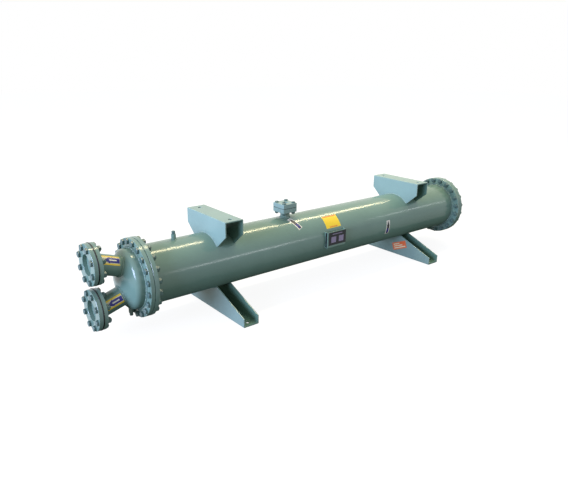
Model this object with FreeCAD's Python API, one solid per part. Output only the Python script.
import FreeCAD, Part
import math
import os

# A shell and tube cooler for hydraulic oil. Water runs through the tubes, out along the upper half and back
# along the lower half, so both water nozzles stand on the front head. Oil runs round the tubes, inside the shell.
#
# Millimetres. X runs along the shell towards the rear, Y towards the far side and Z up. The origin lies on the
# floor, midway between the two feet, in the middle of their anchor holes.

V = FreeCAD.Vector
X, Y, Z = V(1, 0, 0), V(0, 1, 0), V(0, 0, 1)
ORIGIN = V(0, 0, 0)
FRONT, REAR = -1, 1

# ---- driving dimensions --------------------------------------------------------------------------------

# shell
SHELL_OD = 267.4
SHELL_WALL = 6.6
SHELL_LENGTH = 2078.0
FLOOR_CLEARANCE = 107.8

# girth joints, one at each end: tube sheet, gasket, ring flange and dished head
BOLT_OFFSET = 28.3
FLANGE_EDGE = 14.0
SHEET_THICKNESS = 20.0
RING_THICKNESS = 18.0
GASKET_THICKNESS = 2.0
GASKET_FACE = 22.0
GIRTH_BOLTS = 20

# dished heads
HEAD_WALL = 8.0
HEAD_SKIRT = 20.0
KNUCKLE_RADIUS = 26.7
KNUCKLE_BANDS = 3
PARTITION_THICKNESS = 8.0

# hexagon bolts of the flanges
BOLT_FLATS = 24.0
BOLT_HEAD = 10.0
NUT_HEIGHT = 13.0

# water nozzles
NOZZLE_OD = 89.1
NOZZLE_SPLAY = 17.75
NOZZLE_REACH = 193.0
NOZZLE_FLANGE_OD = 180.0
NOZZLE_FLANGE_GAP = 22.0
NOZZLE_FLANGE_THICKNESS = 18.0
NOZZLE_BOLT_EDGE = 15.0
PIPE_SLIP = 0.9
NOZZLE_BOLTS = 8
SHEET_GASKET_THICKNESS = 3.0

# tube bundle
TUBE_OD = 31.8
TUBE_GAP = 28.2
ROW_GAP = 20.2
ROW_TUBES = (2, 1)
SUPPORTS = 5
SUPPORT_THICKNESS = 6.0
SUPPORT_CLEARANCE = 0.3

# top brackets and feet, channels welded on the shell
BRACKET_SPACING = 1323.0
CHANNEL_PLATE = 6.0
CHANNEL_CORNER = 4.0
BRACKET_WIDTH = 97.0
BRACKET_RISE = 86.7
BRACKET_LENGTH = 332.0
BRACKET_END = 70.0
BRACKET_TIP_ANGLE = 47.0
BRACKET_HOLE = 18.0
BRACKET_HOLE_INSET = 35.0
FOOT_WIDTH = 82.0
FOOT_LENGTH = 580.0
FOOT_END = 42.0
FOOT_TIP_ANGLE = 30.6
ANCHOR_HOLE = 18.0
ANCHOR_INSET = 30.0

# oil ports
TOP_PORT_PLACE = -238.0
SIDE_PORT_PLACE = 420.0
PORT_BOSS_OD = 48.6
PORT_BOSS_RISE = 28.0
PORT_SQUARE = 86.0
PORT_FLANGE_THICKNESS = 22.0
PORT_GASKET_THICKNESS = 1.5
PORT_SOCKET_BORE = 34.5
PORT_SOCKET_DEPTH = 14.0
PORT_BOLT_INSET = 13.0
PORT_BOLT_FLATS = 17.0
PORT_BOLT_HEAD = 6.5
PORT_NUT_HEIGHT = 10.0

# vent and drain
FITTING_OD = 21.7
VENT_PLACE = -876.0
VENT_RISE = 26.0
DRAIN_SETBACK = 21.0
DRAIN_RISE = 24.0
PLUG_FLATS = 14.0
PLUG_HEIGHT = 14.0

# nameplate bracket
PLATE_BRACKET_PLACE = -5.0
PLATE_BRACKET_WIDTH = 134.0
PLATE_BRACKET_HEIGHT = 85.0
PLATE_BRACKET_RISE = 8.0
PLATE_BRACKET_STANDOFF = 16.0
PLATE_BRACKET_SHEET = 3.0

# ---- places that follow from them ----------------------------------------------------------------------

SHELL_RADIUS = SHELL_OD / 2
SHELL_BORE = SHELL_RADIUS - SHELL_WALL
HEAD_BORE = SHELL_RADIUS - HEAD_WALL
AXIS_HEIGHT = SHELL_RADIUS + FLOOR_CLEARANCE
BRACKET_HEIGHT = SHELL_RADIUS + BRACKET_RISE
CROWN_RADIUS = SHELL_OD
BOLT_CIRCLE = SHELL_OD + 2 * BOLT_OFFSET
FLANGE_OD = BOLT_CIRCLE + 2 * FLANGE_EDGE
SHELL_END = SHELL_LENGTH / 2
SHEET_FACE = SHELL_END + SHEET_THICKNESS
RING_BACK = SHEET_FACE + GASKET_THICKNESS
RING_FACE = RING_BACK + RING_THICKNESS
COMPANION_FACE = RING_FACE + NOZZLE_REACH
COMPANION_BACK = COMPANION_FACE - NOZZLE_FLANGE_THICKNESS
NOZZLE_FACE = COMPANION_BACK - SHEET_GASKET_THICKNESS
NOZZLE_BACK = NOZZLE_FACE - NOZZLE_FLANGE_THICKNESS
NOZZLE_SPACING = NOZZLE_FLANGE_OD + NOZZLE_FLANGE_GAP
NOZZLE_BOLT_CIRCLE = NOZZLE_FLANGE_OD - 2 * NOZZLE_BOLT_EDGE
COMPANION_BORE = NOZZLE_OD + PIPE_SLIP
TUBE_PITCH = TUBE_OD + TUBE_GAP
ROW_PITCH = TUBE_OD + ROW_GAP
BRACKET_HOLE_SPACING = BRACKET_LENGTH - 2 * BRACKET_HOLE_INSET
ANCHOR_SPACING = FOOT_LENGTH - 2 * ANCHOR_INSET
PORT_BOLT_PITCH = PORT_SQUARE - 2 * PORT_BOLT_INSET
PORT_SEAT = SHELL_RADIUS + PORT_BOSS_RISE
PORT_GASKET_SEAT = PORT_SEAT + PORT_FLANGE_THICKNESS
PORT_COVER_SEAT = PORT_GASKET_SEAT + PORT_GASKET_THICKNESS
PORT_TOP = PORT_COVER_SEAT + PORT_FLANGE_THICKNESS


# ---- helpers -------------------------------------------------------------------------------------------

def rod(radius, start, end):
    """A round bar between two points."""
    run = end - start
    return Part.makeCylinder(radius, run.Length, start, run)


def ring(outer, inner, start, end):
    """A round bar with a round bore, both between the same two points."""
    return rod(outer, start, end).cut(rod(inner, start, end))


def on_axis(x, z=0.0):
    """A point in the upright plane through the shell's axis, z above that axis."""
    return V(x, 0, AXIS_HEIGHT + z)


def hexagon(flats, height, base, direction, turn=0.0):
    """A six-sided prism, as a bolt head or nut, standing on base and rising along direction."""
    corner = flats / math.sqrt(3)
    angles = [math.radians(60 * i + 30) for i in range(7)]
    outline = Part.makePolygon([V(corner * math.cos(a), corner * math.sin(a), 0) for a in angles])
    prism = Part.Face(outline).extrude(V(0, 0, height))
    prism.rotate(ORIGIN, Z, turn)
    prism.Placement = FreeCAD.Placement(base, FreeCAD.Rotation(Z, direction)).multiply(prism.Placement)
    return prism


def bolt_places(count, circle, x, z=0.0):
    """Points on a bolt circle that faces along X, with the holes astride its upright centre line."""
    places = []
    for i in range(count):
        angle = math.radians((i + 0.5) * 360 / count)
        places.append(on_axis(x, z) + V(0, math.sin(angle), math.cos(angle)) * (circle / 2))
    return places


def union(solids):
    """One group that keeps each solid apart."""
    return Part.makeCompound(solids)


def save(node, solids):
    """Write one node, a single solid or a group of them."""
    shape = union(solids) if isinstance(solids, list) else solids
    shape.exportStep("parts/" + node + ".step")


# ---- shell, tube sheets and heads ----------------------------------------------------------------------

def shell_outside():
    """The shell's outer surface as a bar, for what is cut to sit on it."""
    return rod(SHELL_RADIUS, V(-SHELL_END, 0, AXIS_HEIGHT), V(SHELL_END, 0, AXIS_HEIGHT))


def shell():
    """The pipe that holds the oil."""
    return ring(SHELL_RADIUS, SHELL_BORE, on_axis(-SHELL_END), on_axis(SHELL_END))


def tube_places():
    """Centres of the tubes, as y and z from the shell's axis, in rows that mirror about the partition."""
    places = []
    for row, count in enumerate(ROW_TUBES):
        z = row_height(row)
        for i in range(count):
            y = (i - (count - 1) / 2) * TUBE_PITCH
            places += [(y, z), (y, -z)]
    return places


def tube_sheet(end):
    """A thick disc welded on the shell's end; the tubes stand on its inner face."""
    return rod(FLANGE_OD / 2, on_axis(end * SHELL_END), on_axis(end * SHEET_FACE))


def tubes():
    """Tubes between the tube sheets: a few of the bundle's, drawn as bars, because the shell hides them."""
    return [rod(TUBE_OD / 2, V(-SHELL_END, y, AXIS_HEIGHT + z), V(SHELL_END, y, AXIS_HEIGHT + z))
            for y, z in tube_places()]


def dish():
    """A torispherical head as a filled solid, its base on X = 0 and its crown towards +X.

    The outline is a skirt of length s, a knuckle of radius k about (s, r - k), and a crown of radius R
    about (s - sqrt((R - k)^2 - (r - k)^2), 0), where r is the shell's outer radius. The knuckle is turned
    as a few conical bands whose edges lie on its circle.
    """
    reach = CROWN_RADIUS - KNUCKLE_RADIUS
    rise = SHELL_RADIUS - KNUCKLE_RADIUS
    centre = HEAD_SKIRT - math.sqrt(reach ** 2 - rise ** 2)
    meet = math.asin(rise / reach)
    square = math.pi / 2

    def on_crown(angle):
        return V(centre + CROWN_RADIUS * math.cos(angle), CROWN_RADIUS * math.sin(angle), 0)

    def on_knuckle(angle):
        return V(HEAD_SKIRT + KNUCKLE_RADIUS * math.cos(angle), rise + KNUCKLE_RADIUS * math.sin(angle), 0)

    steps = [square + (meet - square) * i / KNUCKLE_BANDS for i in range(KNUCKLE_BANDS + 1)]
    corners = [ORIGIN, V(0, SHELL_RADIUS, 0)] + [on_knuckle(angle) for angle in steps]
    outline = Part.Wire([
        Part.makePolygon(corners),
        Part.Arc(on_crown(meet), on_crown(meet / 2), on_crown(0)).toShape(),
        Part.makeLine(on_crown(0), ORIGIN),
    ])
    return Part.Face(outline).revolve(ORIGIN, X, 360)


def at_end(shape, end):
    """Turn a shape that faces +X to the front if asked, and set it on the ring flange's face there."""
    turned = shape.copy()
    if end == FRONT:
        turned.rotate(ORIGIN, Z, 180)
    turned.translate(on_axis(end * RING_FACE))
    return turned


def nozzle_line(side, x):
    """The point at x on the axis of the upper nozzle, side 1, or the lower one, side -1."""
    z = NOZZLE_SPACING / 2 - (x + NOZZLE_FACE) * math.tan(math.radians(NOZZLE_SPLAY))
    return on_axis(x, side * z)


def ring_flange(end):
    """The flange that carries a dished head."""
    return ring(FLANGE_OD / 2, HEAD_BORE, on_axis(end * RING_BACK), on_axis(end * RING_FACE))


def girth_gasket(end):
    """A flat ring between tube sheet and flange, inside the bolts."""
    return ring(HEAD_BORE + GASKET_FACE, HEAD_BORE, on_axis(end * SHEET_FACE), on_axis(end * RING_BACK))


def partition():
    """The level plate that parts the front head into an upper and a lower chamber."""
    depth = RING_THICKNESS + GASKET_THICKNESS
    corner = on_axis(-RING_FACE, -PARTITION_THICKNESS / 2) - V(0, HEAD_BORE, 0)
    plate = Part.makeBox(depth, 2 * HEAD_BORE, PARTITION_THICKNESS, corner)
    return plate.common(rod(HEAD_BORE, on_axis(-RING_FACE), on_axis(-SHEET_FACE)))


# ---- tube bundle ---------------------------------------------------------------------------------------

def row_height(row):
    """How far a row of tubes stands from the middle of the bundle."""
    return (TUBE_PITCH + PARTITION_THICKNESS) / 2 + row * ROW_PITCH


def support_places():
    """Where the tube supports stand along the shell."""
    step = SHELL_LENGTH / (SUPPORTS + 1)
    return [(i + 1) * step - SHELL_END for i in range(SUPPORTS)]


def tube_supports():
    """Upright strips that lie across the shell between the rows, each as high as the gap that it fills."""
    middle = 2 * row_height(0) - TUBE_OD
    between = ROW_PITCH - TUBE_OD
    levels = [(0, middle)] + [(side * (row_height(0) + ROW_PITCH / 2), between) for side in (1, -1)]
    strips = []
    for x in support_places():
        for z, height in levels:
            width = 2 * math.sqrt(SHELL_BORE ** 2 - (abs(z) + height / 2) ** 2) - 2 * SUPPORT_CLEARANCE
            corner = on_axis(x - SUPPORT_THICKNESS / 2, z - height / 2) - V(0, width / 2, 0)
            strips.append(Part.makeBox(SUPPORT_THICKNESS, width, height, corner))
    return strips


# ---- water nozzles -------------------------------------------------------------------------------------

def nozzle_pipe(side):
    """A pipe from inside the front head to its flange, mitred to the flange's back.

    The rubber sheet closes it, so it is drawn as a bar.
    """
    pipe = rod(NOZZLE_OD / 2, nozzle_line(side, -COMPANION_FACE), nozzle_line(side, -RING_FACE))
    room = Part.makeBox(NOZZLE_BACK - RING_FACE, SHELL_OD, FLANGE_OD,
                        on_axis(-NOZZLE_BACK, -FLANGE_OD / 2) - V(0, SHELL_RADIUS, 0))
    return pipe.common(room)


def front_head():
    """The front head, welded together from its dish and the two nozzle pipes."""
    return at_end(dish(), FRONT).fuse([nozzle_pipe(1), nozzle_pipe(-1)])


def nozzle_disc(side, back, face):
    """A round plate on one nozzle, between two distances in front of the middle of the cooler."""
    z = side * NOZZLE_SPACING / 2
    return rod(NOZZLE_FLANGE_OD / 2, on_axis(-back, z), on_axis(-face, z))


def companion_flange(side):
    """The flange that the customer's water pipe is welded into; the pipe slips into its bore."""
    z = side * NOZZLE_SPACING / 2
    bore = rod(COMPANION_BORE / 2, on_axis(-COMPANION_BACK, z), on_axis(-COMPANION_FACE, z))
    return nozzle_disc(side, COMPANION_BACK, COMPANION_FACE).cut(bore)


# ---- brackets and feet ---------------------------------------------------------------------------------

def channel_section(width, depth):
    """A channel's section in the X-Z plane, its web on Z = 0 and its legs rising."""
    half, corner = width / 2, CHANNEL_CORNER
    inner = half - CHANNEL_PLATE
    slant = corner * (1 - math.sqrt(0.5))
    outline = Part.Wire([
        Part.makeLine(V(corner - half, 0, 0), V(half - corner, 0, 0)),
        Part.Arc(V(half - corner, 0, 0), V(half - slant, 0, slant), V(half, 0, corner)).toShape(),
        Part.makePolygon([
            V(half, 0, corner), V(half, 0, depth), V(inner, 0, depth), V(inner, 0, CHANNEL_PLATE),
            V(-inner, 0, CHANNEL_PLATE), V(-inner, 0, depth), V(-half, 0, depth), V(-half, 0, corner),
        ]),
        Part.Arc(V(-half, 0, corner), V(slant - half, 0, slant), V(corner - half, 0, 0)).toShape(),
    ])
    return Part.Face(outline)


def saddle(width, length, end_height, rise, tip_angle, hole, hole_spacing):
    """A channel with its web on the floor plane and its legs cut to carry a shell rise above it.

    Each leg stands end_height tall at the ends, slants up to the shell at tip_angle from its lowest line,
    and follows the shell between the two tips.
    """
    angle = math.radians(tip_angle)
    tip_y, tip_z = SHELL_RADIUS * math.sin(angle), rise - SHELL_RADIUS * math.cos(angle)
    half = length / 2
    channel = channel_section(width, rise).extrude(Y * length)
    channel.translate(V(0, -half, 0))
    side = Part.makePolygon([
        V(0, -half, 0), V(0, half, 0), V(0, half, end_height), V(0, tip_y, tip_z), V(0, 0, rise),
        V(0, -tip_y, tip_z), V(0, -half, end_height), V(0, -half, 0),
    ])
    outline = Part.Face(side).extrude(X * width)
    outline.translate(V(-width / 2, 0, 0))
    carried = rod(SHELL_RADIUS, V(-width, 0, rise), V(width, 0, rise))
    holes = [rod(hole / 2, V(0, y, 0), V(0, y, CHANNEL_PLATE)) for y in (-hole_spacing / 2, hole_spacing / 2)]
    return channel.common(outline).cut([carried] + holes)


def foot(end):
    """A foot under the shell, web down, with an anchor hole near each tip."""
    shape = saddle(FOOT_WIDTH, FOOT_LENGTH, FOOT_END, AXIS_HEIGHT, FOOT_TIP_ANGLE, ANCHOR_HOLE, ANCHOR_SPACING)
    shape.translate(V(end * BRACKET_SPACING / 2, 0, 0))
    return shape


def bracket(end):
    """A bracket on top of the shell, web up, with a bolt hole near each end."""
    shape = saddle(BRACKET_WIDTH, BRACKET_LENGTH, BRACKET_END, BRACKET_HEIGHT, BRACKET_TIP_ANGLE,
                   BRACKET_HOLE, BRACKET_HOLE_SPACING)
    shape.rotate(ORIGIN, X, 180)
    shape.translate(V(end * BRACKET_SPACING / 2, 0, AXIS_HEIGHT + BRACKET_HEIGHT))
    return shape


# ---- oil ports -----------------------------------------------------------------------------------------

def top_port(shape):
    """Set a port piece, drawn upright on the shell's axis, on the shell's top."""
    placed = shape.copy()
    placed.translate(on_axis(TOP_PORT_PLACE))
    return placed


def side_port(shape):
    """Set the same piece on the shell's far side."""
    placed = shape.copy()
    placed.rotate(ORIGIN, X, -90)
    placed.translate(on_axis(SIDE_PORT_PLACE))
    return placed


def both_ports(shapes):
    """The pieces of one kind, on both oil ports."""
    return [place(shape) for place in (top_port, side_port) for shape in shapes]


def port_boss():
    """A boss whose foot is cut to the shell."""
    boss = rod(PORT_BOSS_OD / 2, V(0, 0, SHELL_BORE), V(0, 0, PORT_SEAT))
    return boss.cut(rod(SHELL_RADIUS, V(-PORT_BOSS_OD, 0, 0), V(PORT_BOSS_OD, 0, 0)))


def port_square(seat, thickness):
    """A square plate standing on the given height."""
    return Part.makeBox(PORT_SQUARE, PORT_SQUARE, thickness, V(-PORT_SQUARE / 2, -PORT_SQUARE / 2, seat))


def port_companion():
    """The upper square flange, with a socket for the oil pipe."""
    socket = rod(PORT_SOCKET_BORE / 2, V(0, 0, PORT_TOP - PORT_SOCKET_DEPTH), V(0, 0, PORT_TOP))
    return port_square(PORT_COVER_SEAT, PORT_FLANGE_THICKNESS).cut(socket)


def port_hexagons(height, level, direction):
    """Four bolt heads or nuts on the square flange's corners."""
    half = PORT_BOLT_PITCH / 2
    corners = [(half, half), (-half, half), (-half, -half), (half, -half)]
    return [hexagon(PORT_BOLT_FLATS, height, V(x, y, level), direction) for x, y in corners]


# ---- vent, drain and nameplate bracket -----------------------------------------------------------------

def fitting(seat, direction, reach, wall):
    """A round socket cut to the wall that it is welded on, and the hexagon plug that closes it."""
    end = seat + direction * reach
    socket = rod(FITTING_OD / 2, seat + direction * HEAD_BORE, end).cut(wall)
    return socket, hexagon(PLUG_FLATS, PLUG_HEIGHT, end, direction)


def vent():
    """The air vent on the shell's top."""
    return fitting(on_axis(VENT_PLACE), Z, SHELL_RADIUS + VENT_RISE, shell_outside())


def drain():
    """The water drain under the front head's knuckle."""
    place = on_axis(-RING_FACE - DRAIN_SETBACK)
    return fitting(place, Z * -1, SHELL_RADIUS + DRAIN_RISE, at_end(dish(), FRONT))


def plate_bracket():
    """A folded sheet that stands off the shell's near side and carries the nameplate."""
    half = PLATE_BRACKET_WIDTH / 2
    face = -SHELL_RADIUS - PLATE_BRACKET_STANDOFF
    low = PLATE_BRACKET_RISE - PLATE_BRACKET_HEIGHT / 2
    sheet = PLATE_BRACKET_SHEET
    block = Part.makeBox(2 * half, -face, PLATE_BRACKET_HEIGHT,
                         on_axis(PLATE_BRACKET_PLACE - half, low) + V(0, face, 0))
    hollow = Part.makeBox(2 * (half - sheet), -face, PLATE_BRACKET_HEIGHT,
                          on_axis(PLATE_BRACKET_PLACE - half + sheet, low) + V(0, face + sheet, 0))
    return block.cut(hollow).cut(shell_outside())


# ---- the cooler ----------------------------------------------------------------------------------------

def girth_hexagons(height, x, towards):
    """Heads or nuts round both girth joints, at a distance x from the middle of the cooler."""
    solids = []
    for end in (FRONT, REAR):
        for place in bolt_places(GIRTH_BOLTS, BOLT_CIRCLE, end * x):
            solids.append(hexagon(BOLT_FLATS, height, place, X * (end * towards)))
    return solids


def nozzle_hexagons(height, x, towards):
    """Heads or nuts of both water nozzles, at a distance x in front of the middle of the cooler."""
    solids = []
    for side in (1, -1):
        for place in bolt_places(NOZZLE_BOLTS, NOZZLE_BOLT_CIRCLE, -x, side * NOZZLE_SPACING / 2):
            solids.append(hexagon(BOLT_FLATS, height, place, X * -towards))
    return solids


def main():
    os.makedirs("parts", exist_ok=True)
    vent_socket, vent_plug = vent()
    drain_socket, drain_plug = drain()

    save("shell", shell())
    save("tube_sheets", [tube_sheet(FRONT), tube_sheet(REAR)])
    save("girth_gaskets", [girth_gasket(FRONT), girth_gasket(REAR)])
    save("ring_flanges", [ring_flange(FRONT), ring_flange(REAR)])
    save("dished_heads", [front_head(), at_end(dish(), REAR)])
    save("pass_partition", partition())
    save("girth_bolts", girth_hexagons(BOLT_HEAD, RING_FACE, 1))
    save("girth_nuts", girth_hexagons(NUT_HEIGHT, SHELL_END, -1))

    save("tubes", tubes())
    save("tube_supports", tube_supports())

    sides = (1, -1)
    save("nozzle_flanges", [nozzle_disc(side, NOZZLE_BACK, NOZZLE_FACE) for side in sides])
    save("nozzle_sheet_gaskets", [nozzle_disc(side, NOZZLE_FACE, COMPANION_BACK) for side in sides])
    save("companion_flanges", [companion_flange(side) for side in sides])
    save("nozzle_bolts", nozzle_hexagons(BOLT_HEAD, COMPANION_FACE, 1))
    save("nozzle_nuts", nozzle_hexagons(NUT_HEIGHT, NOZZLE_BACK, -1))

    save("bracket_front", bracket(FRONT))
    save("bracket_rear", bracket(REAR))
    save("foot_front", foot(FRONT))
    save("foot_rear", foot(REAR))

    save("oil_port_bosses", both_ports([port_boss()]))
    save("oil_port_flanges", both_ports([port_square(PORT_SEAT, PORT_FLANGE_THICKNESS)]))
    save("oil_port_gaskets", both_ports([port_square(PORT_GASKET_SEAT, PORT_GASKET_THICKNESS)]))
    save("oil_port_companions", both_ports([port_companion()]))
    save("oil_port_bolts", both_ports(port_hexagons(PORT_BOLT_HEAD, PORT_TOP, Z)))
    save("oil_port_nuts", both_ports(port_hexagons(PORT_NUT_HEIGHT, PORT_SEAT, Z * -1)))

    save("vent_and_drain_sockets", [vent_socket, drain_socket])
    save("vent_and_drain_plugs", [vent_plug, drain_plug])
    save("nameplate_bracket", plate_bracket())


main()
